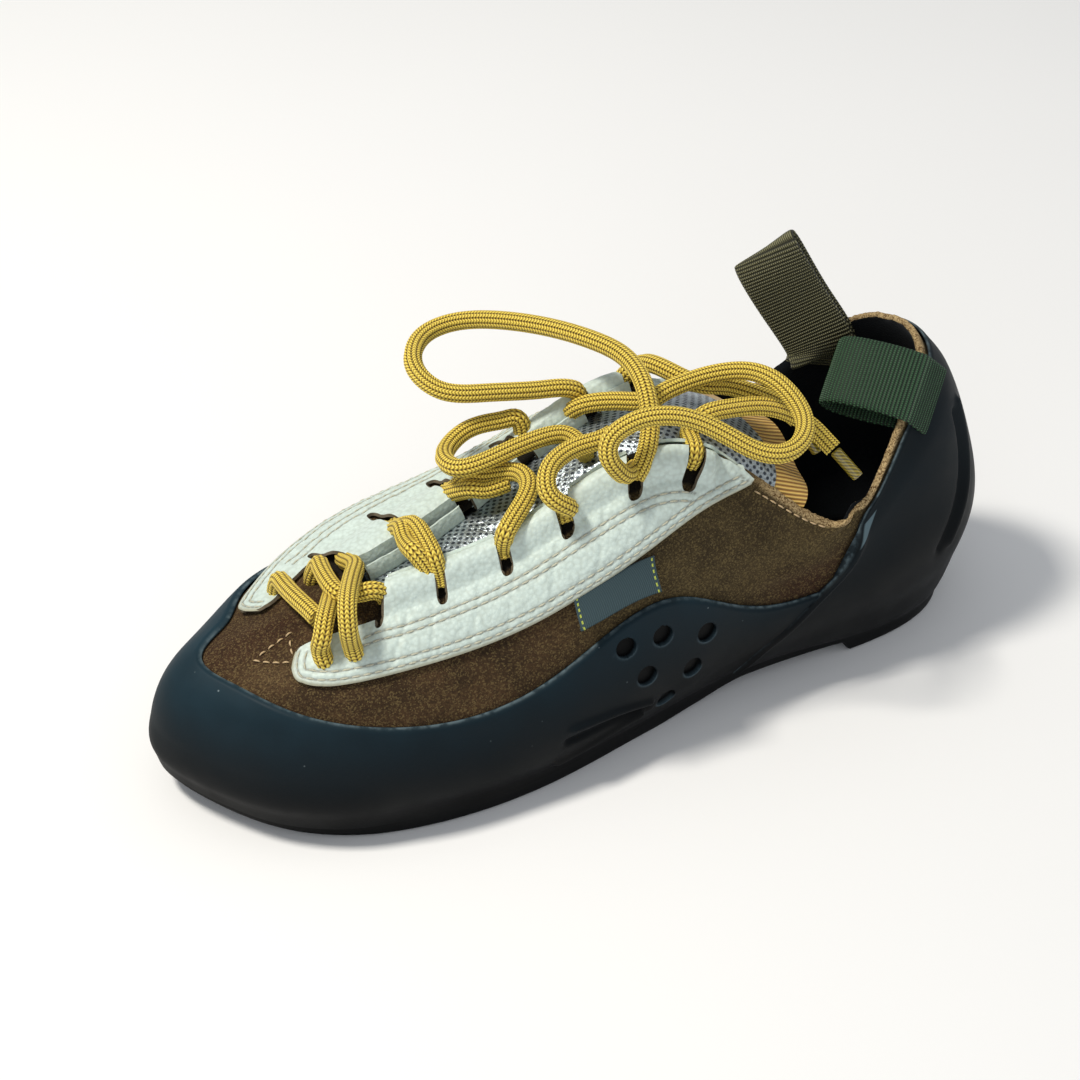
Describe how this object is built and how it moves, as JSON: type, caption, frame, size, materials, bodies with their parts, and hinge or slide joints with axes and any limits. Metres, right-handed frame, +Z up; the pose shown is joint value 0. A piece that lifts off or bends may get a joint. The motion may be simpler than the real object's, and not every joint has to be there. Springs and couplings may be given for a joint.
{
  "type": "climbing shoe",
  "caption": "Low lace-up climbing shoe for the left foot: suede upper, rubber rands and sole, white eyestays, silver tongue, golden lace and green pull loops.",
  "frame": {"origin": "on the floor under the middle of the forefoot, where the flat of the tread starts to rise towards the toe", "axes": "+X towards the heel, -X towards the toe, -Y the little-toe side, +Z up; the shoe stands on z = 0"},
  "size_m": [0.2554, 0.0949, 0.1186],
  "materials": {
    "suede": "brushed suede, matt",
    "rand_rubber": "smooth, matt",
    "heel_rubber": "smooth, matt",
    "sole_rubber": "smooth, matt",
    "white_leather": "grained, satin",
    "woven_tab": "tight weave",
    "tongue_mesh": "metallic perforated sheet",
    "ribbon": "ribbed, satin",
    "webbing": "ribbed weave",
    "insole_cloth": "matt",
    "lace": "round braid",
    "lace_tip": "clear film"
  },
  "bodies": {
    "root": {"upper": "suede", "toe_rand": "rand_rubber", "heel_rand": "heel_rubber", "outsole": "sole_rubber", "insole": "insole_cloth", "eyestay_outer": "white_leather", "eyestay_inner": "white_leather", "side_tab": "woven_tab", "tongue": "tongue_mesh", "tongue_binding": "ribbon", "pull_loop_inner": "webbing", "pull_loop_outer": "webbing", "lace_front": "lace", "lace_second": "lace", "lace_third": "lace", "lace_small_loop": "lace", "lace_hook": "lace", "lace_left_loop": "lace", "lace_right_loop": "lace", "lace_long_end": "lace", "lace_short_end": "lace", "aglet_long": "lace_tip", "aglet_short": "lace_tip"}
  },
  "joints": []
}
